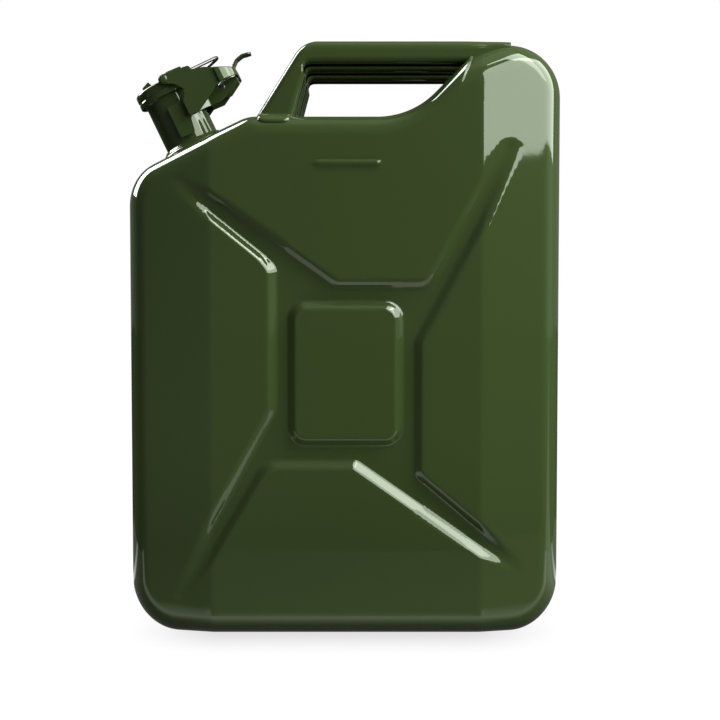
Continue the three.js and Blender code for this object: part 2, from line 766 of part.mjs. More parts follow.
// Heel plates between the ears, the wall that turns the corners behind them, and the finger tab above it
function thumbLever() {
  let lever = bothSides(outlineOf(heel, hinge), heelInner, plate);
  const wallV = cheekInner + plate;
  const corner = { u: hinge.u + wallBehindHinge - wallBend, w: wallV - wallBend };
  const outer = arc(corner, wallBend, 0, 90, 6);
  const inner = arc(corner, wallBend - plate, 90, 0, 6);
  const mirror = (points) => points.map((p) => new THREE.Vector2(p.x, -p.y)).reverse();
  const band = [...mirror(outer), ...outer, ...inner, ...mirror(inner)];
  const wall = upright(band, hinge.w - wallBend, hinge.w + 2 * wallBend);
  lever = lever.add(wall.intersect(slab(outlineOf(wallSide, hinge), -2 * wallV, 2 * wallV)));
  const line = outlineOf(tab, hinge).map((p) => new THREE.Vector3(p.x, p.y, 0));
  const spine = new THREE.CatmullRomCurve3(line).getPoints(14);
  const left = [];
  const right = [];
  spine.forEach((p, i) => {
    const before = spine[Math.max(0, i - 1)];
    const after = spine[Math.min(spine.length - 1, i + 1)];
    const across = new THREE.Vector2(before.y - after.y, after.x - before.x).setLength(tabThickness / 2);
    left.push(new THREE.Vector2(p.x, p.y).add(across));
    right.push(new THREE.Vector2(p.x, p.y).sub(across));
  });
  lever = lever.add(slab([...right, ...left.reverse()], -tabHalfWidth, tabHalfWidth));
  return geometryOf(lever.subtract(pinHole(hinge)));
}

// Strap bent over the cross pin, welded in the lid's dish, with the wedge that stops the lid at the front
function capSaddle() {
  const footW = capDishW + gap;
  const overRivetW = footW + rivetHeadHeight + gap;
  const besideRivet = rivetHeadRadius + gap;
  const inner = crossPin.radius + gap;
  const outer = inner + saddleSheet;
  const strap = [
    ...outlineOf([[saddleFront, footW], [-besideRivet, footW], [-besideRivet, overRivetW]]),
    ...outlineOf([[crossPin.u - inner, overRivetW]]),
    ...arc(crossPin, inner, 180, 0, 8),
    ...outlineOf([[crossPin.u + inner, overRivetW], [besideRivet, overRivetW], [besideRivet, footW]]),
    ...outlineOf([[saddleRear, footW], [saddleRear, footW + saddleSheet]]),
    ...outlineOf([[crossPin.u + outer, overRivetW + saddleSheet]]),
    ...arc(crossPin, outer, 0, 180, 8),
    ...outlineOf([[crossPin.u - outer, overRivetW + saddleSheet]]),
    ...outlineOf([[-besideRivet - saddleSheet, overRivetW + saddleSheet]]),
    ...outlineOf([[saddleFront, footW + saddleSheet]]),
  ];
  const lugRear = saddleFront + saddleSheet;
  const wedge = [
    ...outlineOf([[lugFront, footW], [lugRear, footW], [lugRear, footW + saddleSheet]]),
    ...outlineOf(lug, crossPin),
  ];
  const body = slab(strap, -saddleHalfWidth, saddleHalfWidth);
  return geometryOf(body.add(slab(wedge, -lugHalfWidth, lugHalfWidth)));
}

// Wire loop: two legs drawn together at the rear, their front ends turned out through the cheeks
function safetyBail() {
  const outEnd = cheekInner + plate + bailWire;
  const rear = bailPivot.u + bailLength;
  const rearW = bailPivot.w + bailRise;
  const route = new THREE.CurvePath();
  const stops = [
    new THREE.Vector3(bailPivot.u, -outEnd, bailPivot.w),
    new THREE.Vector3(bailPivot.u, -bailHalfWidth, bailPivot.w),
    new THREE.Vector3(rear, -bailEndHalfWidth, rearW),
    new THREE.Vector3(rear, bailEndHalfWidth, rearW),
    new THREE.Vector3(bailPivot.u, bailHalfWidth, bailPivot.w),
    new THREE.Vector3(bailPivot.u, outEnd, bailPivot.w),
  ];
  let from = stops[0];
  stops.slice(1, -1).forEach((corner, i) => {
    const bend = i === 0 || i === 3 ? bailWire * 2 : bailBend;
    const into = corner.clone().add(stops[i].clone().sub(corner).setLength(bend));
    const out = corner.clone().add(stops[i + 2].clone().sub(corner).setLength(bend));
    route.add(new THREE.LineCurve3(from, into));
    route.add(new THREE.QuadraticBezierCurve3(into, corner, out));
    from = out;
  });
  route.add(new THREE.LineCurve3(from, stops.at(-1)));
  const section = new THREE.Shape().absarc(0, 0, bailWire, 0, 2 * Math.PI);
  const options = { steps: 60, curveSegments: 4, bevelEnabled: false, extrudePath: route };
  return new THREE.ExtrudeGeometry(section, options);
}

// Air pipe from inside the neck, bent under the top sheet to the space in the hump
function breatherTube() {
  const across = neckRadius - neckWall - 2 * gap - breatherRadius;
  const fromNeck = (u, w) => {
    const x = neckFoot.x + u * Math.cos(shoulderAngle) - w * Math.sin(shoulderAngle);
    const z = neckFoot.z + u * Math.sin(shoulderAngle) + w * Math.cos(shoulderAngle);
    return new THREE.Vector3(x, 0, z);
  };
  const anchors = [
    [shoulderTopX, topZ],
    [shoulderTopX, topZ],
    [saddleX, topZ],
    [saddleX, topZ],
    [humpEdgeX, humpEdgeZ],
  ];
  const path = new THREE.CatmullRomCurve3([
    ...breatherInNeck.map((w) => fromNeck(across, w)),
    ...anchors.map(([x, z], i) => new THREE.Vector3(x + breatherShifts[i], 0, z - breatherDrops[i])),
  ]);
  const section = new THREE.Shape().absarc(0, 0, breatherRadius, 0, 2 * Math.PI);
  section.holes.push(new THREE.Path().absarc(0, 0, breatherRadius - breatherWall, 0, 2 * Math.PI, true));
  const options = { steps: 18, curveSegments: 4, bevelEnabled: false, extrudePath: path };
  return new THREE.ExtrudeGeometry(section, options);
}

// A named piece with its own finish
function piece(name, geometry, finish) {
  const mesh = new THREE.Mesh(geometry, new THREE.MeshStandardMaterial(finish));
  mesh.name = name;
  return mesh;
}

const can = new THREE.Group();
const frontHalf = bodyHalf();
can.add(piece('body_half_front', frontHalf, paint));
can.add(piece('body_half_back', mirrored(frontHalf), paint));
can.add(piece('seam_weld', seamWeld(), paint));
can.add(piece('handle_front', handle(-handlePitch, -1), paint));
can.add(piece('handle_middle', handle(0, 0), paint));
can.add(piece('handle_back', handle(handlePitch, 1), paint));
can.add(piece('breather_tube', breatherTube(), zinc));

const closure = new THREE.Group();
closure.position.copy(neckFoot);
closure.rotation.y = -shoulderAngle;
closure.add(piece('neck', neckTube(), paint));
closure.add(piece('neck_collar', neckCollar(), paint));
closure.add(piece('hinge_bracket', hingeBracket(), paint));
closure.add(piece('lever_yoke', leverYoke(), paint));
closure.add(piece('thumb_lever', thumbLever(), paint));
closure.add(piece('cap_lid', capLid(), paint));
closure.add(piece('cap_saddle', capSaddle(), paint));
closure.add(piece('cap_rivet', capRivet(), zinc));
closure.add(piece('cap_gasket', capGasket(), rubber));
closure.add(piece('gasket_retainer', gasketRetainer(), zinc));
closure.add(piece('safety_bail', safetyBail(), zinc));

const hingeRivet = piece('hinge_pin', headedPin(hinge, earInner + plate), zinc);
hingeRivet.position.set(hinge.u, 0, hinge.w);
closure.add(hingeRivet);
const lidPin = piece('cross_pin', headedPin(crossPin, cheekInner + plate), paint);
lidPin.position.set(crossPin.u, 0, crossPin.w);
closure.add(lidPin);
can.add(closure);

export default can;
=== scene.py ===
import math

import bpy
import numpy as np
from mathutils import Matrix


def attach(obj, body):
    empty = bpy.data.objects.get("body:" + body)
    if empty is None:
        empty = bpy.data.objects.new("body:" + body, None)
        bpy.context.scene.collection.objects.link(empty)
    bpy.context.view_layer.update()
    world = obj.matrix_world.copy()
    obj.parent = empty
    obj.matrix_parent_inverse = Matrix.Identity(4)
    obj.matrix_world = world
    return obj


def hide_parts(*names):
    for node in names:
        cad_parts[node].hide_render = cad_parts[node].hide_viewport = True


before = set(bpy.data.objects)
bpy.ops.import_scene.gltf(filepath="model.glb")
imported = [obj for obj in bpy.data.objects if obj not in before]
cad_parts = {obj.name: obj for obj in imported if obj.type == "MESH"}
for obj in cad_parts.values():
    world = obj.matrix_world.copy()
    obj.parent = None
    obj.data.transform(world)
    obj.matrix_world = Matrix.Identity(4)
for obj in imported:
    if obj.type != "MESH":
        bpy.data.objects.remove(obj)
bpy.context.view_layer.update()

# Pressed body halves: two mirror-image deep drawings of 1 mm steel sheet, sprayed with gloss olive enamel.
# Each has a flat panel with an X-shaped stiffening channel and a square boss, sides that slope back from two
# upright creases, and a rim stepped inwards to meet the other half on a seam. Lengths here are millimetres.
MM = 0.001
half_depth, sheet = 82.5, 1.0
body_corners = np.array(
    [[-172.5, 0], [172.5, 0], [172.5, 486], [100.5, 456.9], [52.8, 408.4], [-76, 408.4], [-172.5, 362.3]]
)
# For each corner, or for the edge that follows it, in the order of the corners.
body_radii = np.array([40, 40, 41, 12, 64, 30, 36.0])
panel_radii = np.array([12, 12, 6, 10, 80, 22, 12.0])
outside_turn = np.array([1, 1, 1, 1, -1, 1, 1])
arc_points = [28, 28, 34, 8, 24, 10, 18]
edge_points = [108, 176, 16, 18, 50, 34, 122]
round_width = np.array([16, 17, 24, 13, 16, 18, 17.0])
round_depth = np.array([16, 27, 30, 17, 16, 18, 27.0])
panel_insets = np.array([22, 65, 36, 22, 22, 24, 68.2])
seam_insets = np.array([5, 5, 5, 0, 0, 0, 5.0])
point_crowding, least_radius = 0.45, 9.0
creases, facet_slope, crease_round = (-104.3, 107.5), math.tan(math.radians(14)), 0.5
channel_depth, wall_slope, tip_slope, foot_round = 6.0, 0.86, 1.25, 0.3
floor_depth = half_depth - channel_depth
wall_round, tip_round, tip_from = 1.0, 0.1, 106
boss_centre, boss_half = np.array([1.0, 207.05]), np.array([45.7, 57.25])
boss_corner, boss_slope, boss_round, boss_foot, boss_reach = 15, 0.9, 1.0, 0.7, 4
mark_centre, mark_half, mark_radius, mark_height = (2.5, 371.2), 23.5, 2.5, 1.3
seam_floor, seam_edge, lip = 5.0, 8.0, 0.15
inside_gap, tray_gap = 0.1, 1.4
shoulder_run = body_corners[5] - body_corners[6]
shoulder = math.atan2(shoulder_run[1], shoulder_run[0])
neck_along, neck_hole, hole_reach = 51.5, 23.2, 14
neck_foot = body_corners[5] - neck_along * np.array([math.cos(shoulder), math.sin(shoulder)])
panel_centre = np.array([1.0, 207.0])
# Rings of the panel, as runs: the share of the panel where a run ends, and its count, dense across the walls.
panel_runs = [(0.96, 4), (0.94, 2), (0.9, 14), (0.58, 12), (0.42, 21), (0.22, 40), (0, 4)]


def unit(rows):
    """Vectors divided by their lengths."""
    return rows / np.linalg.norm(rows, axis=-1, keepdims=True)


def cross(a, b):
    """Cross products of two lists of flat vectors, row by row."""
    return a[:, 0] * b[:, 1] - a[:, 1] * b[:, 0]


def moved_in(insets):
    """Corners of the body outline after each edge moves inwards by its own distance: where the moved lines
    cross."""
    along = unit(np.roll(body_corners, -1, 0) - body_corners)
    start = body_corners + np.stack([-along[:, 1], along[:, 0]], 1) * insets[:, None]
    last, before = np.roll(start, 1, 0), np.roll(along, 1, 0)
    return last + before * (cross(start - last, along) / cross(before, along))[:, None]


def rounded(corners, radii):
    """Closed outline: at each corner an arc touching both edges, then the straight to the next arc, its
    points crowding towards both ends."""
    back = unit(np.roll(corners, 1, 0) - corners)
    ahead = unit(np.roll(corners, -1, 0) - corners)
    half = np.arccos(np.clip((back * ahead).sum(1), -1, 1)) / 2
    reach = (radii / np.tan(half))[:, None]
    first, final = corners + back * reach, corners + ahead * reach
    centre = corners + unit(back + ahead) * (radii / np.sin(half))[:, None]
    sweep = (np.pi - 2 * half) * np.sign(cross(ahead, back))
    run = []
    for i in range(len(corners)):
        turn = np.linspace(0, sweep[i], arc_points[i])[:, None]
        arm = first[i] - centre[i]
        run.append(centre[i] + arm * np.cos(turn) + np.array([-arm[1], arm[0]]) * np.sin(turn))
        step = np.linspace(0, 1, edge_points[i] + 2)[1:-1, None]
        step = step - point_crowding * np.sin(2 * np.pi * step) / (2 * np.pi)
        run.append(final[i] + (first[(i + 1) % len(corners)] - final[i]) * step)
    return np.concatenate(run)


def along_outline(by_edge):
    """Values given per edge, spread over the outline's points: constant on a straight, eased over an arc."""
    run = []
    for i, count in enumerate(arc_points):
        share = np.linspace(0, 1, count)
        share = share * share * (3 - 2 * share)
        run.append(by_edge[i - 1] * (1 - share) + by_edge[i] * share)
        run.append(np.full(edge_points[i], by_edge[i]))
    return np.concatenate(run)


def soft_min(a, b, width):
    """The smaller of two values, with the corner where they cross rounded over the given width."""
    share = np.clip(0.5 + 0.5 * (b - a) / width, 0, 1)
    return b + (a - b) * share - width * share * (1 - share)


def faceted(x):
    """Depth of the side before its edges are rounded: a flat middle, and a plane sloping back beyond each of
    the two upright creases."""
    left = half_depth - (creases[0] - x) * facet_slope
    right = half_depth - (x - creases[1]) * facet_slope
    return soft_min(soft_min(np.full_like(x, half_depth), left, crease_round), right, crease_round)


def distance_to(polygon, x, z, steep):
    """Signed distance from points to a closed polygon, negative inside: the nearest edge, each edge's own
    distance times its steepness, with the sign from counted crossings."""
    start, end = polygon[:, None], np.roll(polygon, -1, 0)[:, None]
    edge, arm = end - start, np.stack([x, z], -1)[None] - start
    reach = np.clip((arm * edge).sum(-1) / (edge * edge).sum(-1), 0, 1)
    nearest = (np.linalg.norm(arm - edge * reach[..., None], axis=-1) * steep[:, None]).min(0)
    spans = (start[..., 1] > z) != (end[..., 1] > z)
    rise = np.where(edge[..., 1] == 0, 1, edge[..., 1])
    crossed = spans & (x < start[..., 0] + (z - start[..., 1]) * edge[..., 0] / rise)
    return np.where(crossed.sum(0) % 2 == 1, -nearest, nearest)


def softened(points, steps=5):
    """Open polyline through (a, b, radius) corners with each corner rounded by an arc that touches both
    sides; a corner without a radius, or almost straight, stays as it is."""
    nearly_straight = 1.55
    rows = np.array([(point + (0,))[:3] for point in points], float)
    run = [rows[0, :2][None]]
    for last, here, after in zip(rows[:-2, :2], rows[1:-1], rows[2:, :2]):
        corner, radius = here[:2], here[2]
        back, ahead = unit(last - corner), unit(after - corner)
        half = math.acos(np.clip(back @ ahead, -1, 1)) / 2
        if radius == 0 or half > nearly_straight:
            run.append(corner[None])
            continue
        reach, sweep = radius / math.tan(half), np.pi - 2 * half
        centre = corner + unit(back + ahead) * radius / math.sin(half)
        first, final = corner + back * reach - centre, corner + ahead * reach - centre
        share = np.linspace(0, 1, steps)[:, None]
        arm = first * np.sin((1 - share) * sweep) + final * np.sin(share * sweep)
        run.append(centre + arm / math.sin(sweep))
    run.append(rows[-1, :2][None])
    return np.concatenate(run)


channel_floor = softened(
    [
        (-130.5, 361.1), (-133.5, 357), (-52.3, 291.5, 13), (-52.3, 178.2, 10), (-133.2, 31.2),
        (-128.8, 28.7), (-63.6, 139.6, 18), (9.4, 139.6, 10), (135.9, 51), (139.1, 54.8), (54.4, 126, 13),
        (54.4, 233, 15), (134.5, 383.4), (128.6, 386.2), (68.7, 273.6, 18), (-7, 273.6, 14), (-130.5, 361.1),
    ]
)[:-1]
channel_slope = np.full(len(channel_floor), wall_slope)
channel_slope[1] = tip_slope


def pressed(x, z, skin):
    """Depth of the face after pressing: the skin, or where it is lower the channel's floor with walls that
    rise by their slope, melting into the skin near the tips; then the boss, a round-cornered oblong whose
    walls rise from that floor to the panel."""
    away = distance_to(channel_floor, x, z, channel_slope)
    rising = 0.5 * (away + np.sqrt(away * away + foot_round))
    soft = wall_round + tip_round * np.maximum(0, np.abs(x) - tip_from)
    face = soft_min(skin, floor_depth + rising, soft)
    aside = np.abs(np.stack([x, z]) - boss_centre[:, None]) - (boss_half - boss_corner)[:, None]
    boss_edge = np.hypot(*np.maximum(aside, 0)) + np.minimum(aside.max(0), 0) - boss_corner
    boss = soft_min(np.full_like(x, half_depth), floor_depth - boss_slope * boss_edge, boss_round)
    return np.where(boss_edge < boss_reach, -soft_min(-face, -boss, boss_foot), face)


def level_mark(x, z):
    """Height of the short raised bar that marks the filling level: a round-ended bar with a domed section."""
    away = np.hypot(np.maximum(np.abs(x - mark_centre[0]) - mark_half, 0), z - mark_centre[1])
    return mark_height * np.clip(1 - (away / mark_radius) ** 2, 0, 1) ** 0.8


def half_shell():
    """One half as rings of equal count, from a pole inside the can, over the lip at the seam, to a pole
    outside: the wall, quarter ellipses over its edge, the planes to the creases, and the panel drawn in to
    its middle. The inside is a plain tray that stays behind the channel's floor."""
    outer = rounded(body_corners, body_radii)
    inner = rounded(moved_in(np.full(len(body_corners), sheet)), body_radii - sheet * outside_turn)
    seam = rounded(moved_in(seam_insets), body_radii)
    seam_inner = rounded(moved_in(seam_insets + sheet), body_radii - sheet * outside_turn)
    panel = rounded(moved_in(panel_insets), panel_radii)
    edge_depth = along_outline(round_depth)
    turns = np.linspace(np.pi / 2, 0, 17)

    def at_depth(outline, depth):
        return np.concatenate([outline, np.broadcast_to(depth, len(outline))[:, None]], 1)

    def rim(turn, thin):
        moved = round_width * (1 - math.sin(turn)) + thin
        outline = rounded(moved_in(moved), np.maximum(body_radii - moved * outside_turn, least_radius))
        return at_depth(outline, faceted(outline[:, 0]) - edge_depth * (1 - math.cos(turn)) - thin)

    def between(first, last, share):
        outline = first + (last - first) * share
        return at_depth(outline, faceted(outline[:, 0]))

    inside = [between(panel_centre, panel, share) for share in (0, 0.4, 0.75)]
    inside += [rim(turn, sheet) for turn in turns[[16, 12, 9, 7, 5, 3, 0]]]
    for ring in inside:
        ring[:, 2] = np.minimum(ring[:, 2] - inside_gap, floor_depth - tray_gap)
    inside += [at_depth(inner, seam_edge + sheet), at_depth(seam_inner, seam_floor + sheet)]
    inside.append(at_depth(seam_inner, lip))
    outside = [at_depth(seam, lip), at_depth(seam, seam_floor), at_depth(outer, seam_edge)]
    face = [rim(turn, 0) for turn in turns]
    brow = face[-1][:, :2].copy()
    face += [between(brow, panel, share) for share in np.linspace(0, 0.95, 15)[1:]]
    face += [between(brow, panel, share) for share in (0.975, 1)]
    start = 1
    for end, count in panel_runs:
        face += [between(panel_centre, panel, share) for share in np.linspace(start, end, count + 1)[1:]]
        start = end
    for ring in face:
        ring[:, 2] = pressed(*ring.T) + level_mark(ring[:, 0], ring[:, 1])
    rings = np.array(inside + outside + face)
    return np.stack([rings[..., 0], -rings[..., 2], rings[..., 1]], -1)


def grid_faces(rows, columns, wrap_rows=False, wrap_columns=True):
    """Quads of a grid whose point in row r and column c has the number r * columns + c."""
    r = np.arange(rows if wrap_rows else rows - 1)[:, None]
    c = np.arange(columns if wrap_columns else columns - 1)[None]
    below, beside = (r + 1) % rows, (c + 1) % columns
    corners = [r * columns + c, r * columns + beside, below * columns + beside, below * columns + c]
    return np.stack(np.broadcast_arrays(*corners), -1).reshape(-1, 4)


def outwards(points, faces):
    """The faces of a closed skin, turned round if the volume they enclose comes out negative."""
    a, b, c, d = (points[faces[:, k]] for k in range(4))
    volume = (a * np.cross(b, c)).sum() + (a * np.cross(c, d)).sum()
    return faces if volume > 0 else faces[:, ::-1]


def closed_skin(rings):
    """Points and outward faces of rings of equal count, the first and the last ring each drawn together into
    one point."""
    rows, columns = rings.shape[:2]
    last = (rows - 1) * columns
    faces = grid_faces(rows, columns)
    faces = np.where(faces < columns, 0, np.where(faces >= last, last, faces))
    kept = np.concatenate([[0], np.arange(columns, last + 1)])
    points = rings.reshape(-1, 3)[kept]
    return points, outwards(points, np.searchsorted(kept, faces))


def sheet_piece(name, points, faces, finish, sharp=38):
    """A mesh object at the origin from points in mm and faces, smooth but for edges sharper than the given
    angle; a corner that a face has twice, at a pole, is kept once."""
    mesh = bpy.data.meshes.new(name)
    rows = faces if isinstance(faces, list) else faces.tolist()
    corners = [list(dict.fromkeys(row)) for row in rows]
    mesh.from_pydata((np.reshape(points, (-1, 3)) * MM).tolist(), [], corners)
    mesh.update()
    mesh.shade_smooth()
    mesh.set_sharp_from_angle(angle=math.radians(sharp))
    mesh.materials.append(finish)
    made = bpy.data.objects.new(name, mesh)
    bpy.context.scene.collection.objects.link(made)
    return made


class Value:
    """A shader socket for Python sums: operators add Math nodes, and node() adds any other node to the tree,
    its sockets given by name or, as i0, i1 and so on, by number."""

    def __init__(self, tree, socket=None):
        self.tree, self.socket = tree, socket

    def node(self, kind, settings=None, out=0, **inputs):
        made = self.tree.nodes.new("ShaderNode" + kind)
        for name, value in (settings or {}).items():
            setattr(made, name, value)
        for name, value in inputs.items():
            socket = made.inputs[int(name[1:]) if name[1:].isdigit() else name.replace("_", " ")]
            if isinstance(value, Value):
                self.tree.links.new(value.socket, socket)
            else:
                socket.default_value = value
        return Value(self.tree, made.outputs[out])

    def maths(self, operation, a, b):
        return self.node("Math", {"operation": operation}, i0=a, i1=b)

    def __add__(self, other):
        return self.maths("ADD", self, other)

    def __sub__(self, other):
        return self.maths("SUBTRACT", self, other)

    def __rsub__(self, other):
        return self.maths("SUBTRACT", other, self)

    def __mul__(self, other):
        return self.maths("MULTIPLY", self, other)

    __radd__ = __add__
    __rmul__ = __mul__


def finish_of(name):
    """A new material, with its tree as a Value, its Principled node, and the object's coordinates."""
    material = bpy.data.materials.new(name)
    material.use_nodes = True
    tree = Value(material.node_tree)
    shader = material.node_tree.nodes["Principled BSDF"]
    return material, tree, shader, tree.node("TexCoord", out=3)


def feed(tree, shader, name, value):
    """Links a varying value to one socket of the shader."""
    tree.tree.links.new(value.socket, shader.inputs[name])


def mixed(tree, share, first, second):
    """A colour between two, by a share from 0 to 1."""
    return tree.node("Mix", {"data_type": "RGBA"}, 2, i0=share, i6=(*first, 1), i7=(*second, 1))


def gloss_enamel():
    """Olive enamel: tone drifting over hand-wide areas, orange peel of a few millimetres, and the slow waves
    of the sheet."""
    dark, light = (0.0238, 0.038, 0.0109), (0.0261, 0.0417, 0.012)
    peel_height, wave_height = 0.000005, 0.00008
    material, tree, shader, place = finish_of("olive_enamel")
    drift = tree.node("TexNoise", Vector=place, Scale=7.0, Detail=3.0)
    speck = tree.node("TexNoise", Vector=place, Scale=160.0, Detail=2.0)
    feed(tree, shader, "Base Color", mixed(tree, drift * 0.8 + speck * 0.2, dark, light))
    haze = tree.node("TexNoise", Vector=place, Scale=22.0, Detail=3.0)
    feed(tree, shader, "Roughness", 0.028 + 0.025 * haze)
    peel = tree.node("TexNoise", Vector=place, Scale=280.0, Detail=1.0)
    wave = tree.node("TexNoise", Vector=place, Scale=9.0, Detail=1.0)
    height = peel_height * peel + wave_height * wave
    feed(tree, shader, "Normal", tree.node("Bump", Strength=1.0, Distance=1.0, Height=height))
    shader.inputs["IOR"].default_value = 1.5
    shader.inputs["Specular Tint"].default_value = (0.88, 1.0, 0.82, 1)
    return material


def outside_neck_hole(points, faces):
    """The faces whose middles lie outside a short cylinder round the neck's axis at the shoulder."""
    middle = points[faces].mean(1)
    x, z = middle[:, 0] - neck_foot[0], middle[:, 2] - neck_foot[1]
    along = x * math.cos(shoulder) + z * math.sin(shoulder)
    off = z * math.cos(shoulder) - x * math.sin(shoulder)
    return faces[(np.hypot(along, middle[:, 1]) > neck_hole) | (np.abs(off) > hole_reach)]


enamel = gloss_enamel()
shell, shell_faces = closed_skin(half_shell())
shell_faces = outside_neck_hole(shell, shell_faces)
front = sheet_piece("front_pressing", shell, shell_faces, enamel, sharp=52)
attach(front, "can")
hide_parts("body_half_front")
back = sheet_piece("back_pressing", shell * [1, -1, 1], shell_faces[:, ::-1], enamel, sharp=52)
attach(back, "can")
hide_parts("body_half_back")

# Seam weld: the bead that joins the two rims at the bottom of the recess, laid from the foot of the shoulder
# down the front, along the base and up to the hump, and painted over with the body.
bead_rings, bead_half, bead_height, bead_rise = 1900, 2.6, 1.1, 0.2
ripple_height, ripple_length = 0.14, 2.4


def evenly(points, count):
    """A polyline's points respaced at equal lengths: those lengths, and points found between the old ones."""
    points = np.asarray(points, float)
    length = np.concatenate([[0], np.cumsum(np.linalg.norm(np.diff(points, axis=0), axis=1))])
    at = np.linspace(0, length[-1], count)
    return at, np.stack([np.interp(at, length, points[:, k]) for k in (0, 1)], 1)


def seam_bead():
    """A low half-round bead carried along the recess, its height rippled by a sine as a seam welder leaves
    it, and each end drawn to a point."""
    recess = rounded(moved_in(seam_insets), body_radii)
    foot = sum(arc_points) + sum(edge_points[:6]) - 1
    top = sum(arc_points[:3]) + sum(edge_points[:2])
    length, path = evenly(np.concatenate([recess[foot:], recess[:top]]), bead_rings)
    along = unit(np.gradient(path, axis=0))
    out = np.stack([along[:, 1], -along[:, 0]], 1)
    turn = np.linspace(-0.25 * np.pi, 1.25 * np.pi, 13)
    crown = bead_height + ripple_height * np.sin(length * 2 * np.pi / ripple_length)
    height = crown[:, None] * np.sin(turn)[None] + bead_rise
    at = path[:, None] + out[:, None] * height[..., None]
    spread = np.broadcast_to(bead_half * np.cos(turn), height.shape)
    rings = np.stack([at[..., 0], spread, at[..., 1]], -1)
    rings[[0, -1]] = rings[[0, -1]].mean(1, keepdims=True)
    return rings


weld = sheet_piece("seam_bead", *closed_skin(seam_bead()), enamel, sharp=70)
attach(weld, "can")
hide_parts("seam_weld")

# Handles: three open channels bent from strip, with a slanting leg at the neck end and a level bar, their
# flanges notched at the bend. The legs are welded to the flat top and the bars to the rear hump.
handle_top, flange_foot, bend_radius, strip = 467.2, 451.9, 20.0, 1.2
leg_slope, leg_foot, foot_z, bar_end = 1.59, (-68.1, 409.2), 407.6, 131.0
bar_droop, droop_from = 1.2, 88
channel_half, strip_bend, edge_roll, least_flat = 12.5, 6.0, 4.0, 1.5
flange_toe = [-41.4, 407.6]
notch = [[-32.6, 441.4], [-33.4, 446.6], [-31.6, 450.4], [-28.4, 451.7], [-24, 451.9]]
hump_from, leg_steps, bend_steps, bar_steps = (20, 380), 24, 24, 90


def joined(*runs):
    """Polyline through the given (points, count) runs, each respaced evenly; repeated joints are left out."""
    laid = [evenly(points, count)[1] for points, count in runs]
    return np.concatenate(laid[:1] + [run[1:] for run in laid[1:]])


def handle_lines(sink):
    """Two lines seen from the front, point for point: the web's back, straight up the leg, round the bend and
    level, drooping by a square at its end; and the rolled edges of the flanges, which pass the notch, keep
    their foot's height, and follow the hump, sunk into it, where that is higher."""
    lean = math.atan(leg_slope)
    corner = leg_foot[0] + (handle_top - leg_foot[1]) / leg_slope
    centre = np.array([corner + bend_radius * math.tan(lean / 2), handle_top - bend_radius])
    turn = np.linspace(np.pi / 2 + lean, np.pi / 2, 30)
    arc = centre + bend_radius * np.stack([np.cos(turn), np.sin(turn)], 1)
    foot = [leg_foot[0] + (foot_z - leg_foot[1]) / leg_slope, foot_z]
    bar = [arc[-1], [bar_end, handle_top]]
    web = joined(([foot, arc[0]], leg_steps), (arc, bend_steps), (bar, bar_steps))
    ease = np.clip((web[:, 0] - droop_from) / (bar_end - droop_from), 0, 1)
    web[:, 1] -= bar_droop * ease * ease
    outline = rounded(body_corners, body_radii)
    hump = outline[(outline > hump_from).all(1)]
    hump = hump[np.argsort(hump[:, 0])]
    bar_x = np.linspace(notch[-1][0], bar_end, bar_steps)
    bar_z = np.maximum(flange_foot, np.interp(bar_x, hump[:, 0], hump[:, 1]) - sink)
    leg = joined(([flange_toe, notch[0]], leg_steps), (notch, bend_steps))
    return web, np.concatenate([leg, np.stack([bar_x, bar_z], 1)[1:]])


def channel_handle(y, sink):
    """The strip's section carried along the two lines: a lip turned in, its roll, flange, bend and web, both
    sides. Roll and bend shrink together where the flange has no room for them."""
    web, edge = handle_lines(sink)
    depth = np.linalg.norm(web - edge, axis=1)[:, None]
    toward = (web - edge) / depth
    small = np.minimum(1, depth / (edge_roll + strip_bend + least_flat))
    roll, bend = edge_roll * small, strip_bend * small
    turn = np.linspace(0, np.pi / 2, 9)[None]
    up = roll + (depth - bend - roll) * np.linspace(0, 1, 9)[None, 1:-1]
    runs = [
        (np.zeros_like(roll), roll + np.array([[1, 0.5]])),
        (roll * (1 - np.cos(turn)), roll * (1 - np.sin(turn))),
        (up, np.zeros_like(up)),
        (depth - bend + bend * np.sin(turn), bend * (1 - np.cos(turn))),
        (depth, bend + (channel_half - bend) * np.linspace(0, 1, 5)[None, 1:]),
    ]
    section = np.concatenate([np.stack(np.broadcast_arrays(*run), -1) for run in runs], 1)
    side = edge[:, None] + toward[:, None] * section[..., :1]
    near = np.stack([side[..., 0], y - channel_half + section[..., 1], side[..., 1]], -1)
    far = np.stack([side[..., 0], y + channel_half - section[..., 1], side[..., 1]], -1)
    return np.concatenate([near, far[:, -2::-1]], 1)


def thicken(made, thickness):
    """Gives a sheet its thickness behind the face that is modelled."""
    wall = made.modifiers.new("thickness", "SOLIDIFY")
    wall.thickness, wall.offset = thickness * MM, -1


def ease_edges(made, width, segments, angle=50):
    """Rounds the edges of a piece that are sharper than the given angle."""
    edge = made.modifiers.new("eased_edges", "BEVEL")
    edge.width, edge.segments = width * MM, segments
    edge.limit_method, edge.angle_limit = "ANGLE", math.radians(angle)
    edge.harden_normals = True


for name, y, sink in (("handle_front", -50, 6.5), ("handle_middle", 0, 1.5), ("handle_back", 50, 6.5)):
    channel = channel_handle(y, sink)
    channel_faces = grid_faces(*channel.shape[:2], wrap_columns=False)
    made = sheet_piece(name + "_strip", channel, channel_faces, enamel)
    thicken(made, strip)
    ease_edges(made, 0.35, 2)
    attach(made, "can")
    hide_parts(name)

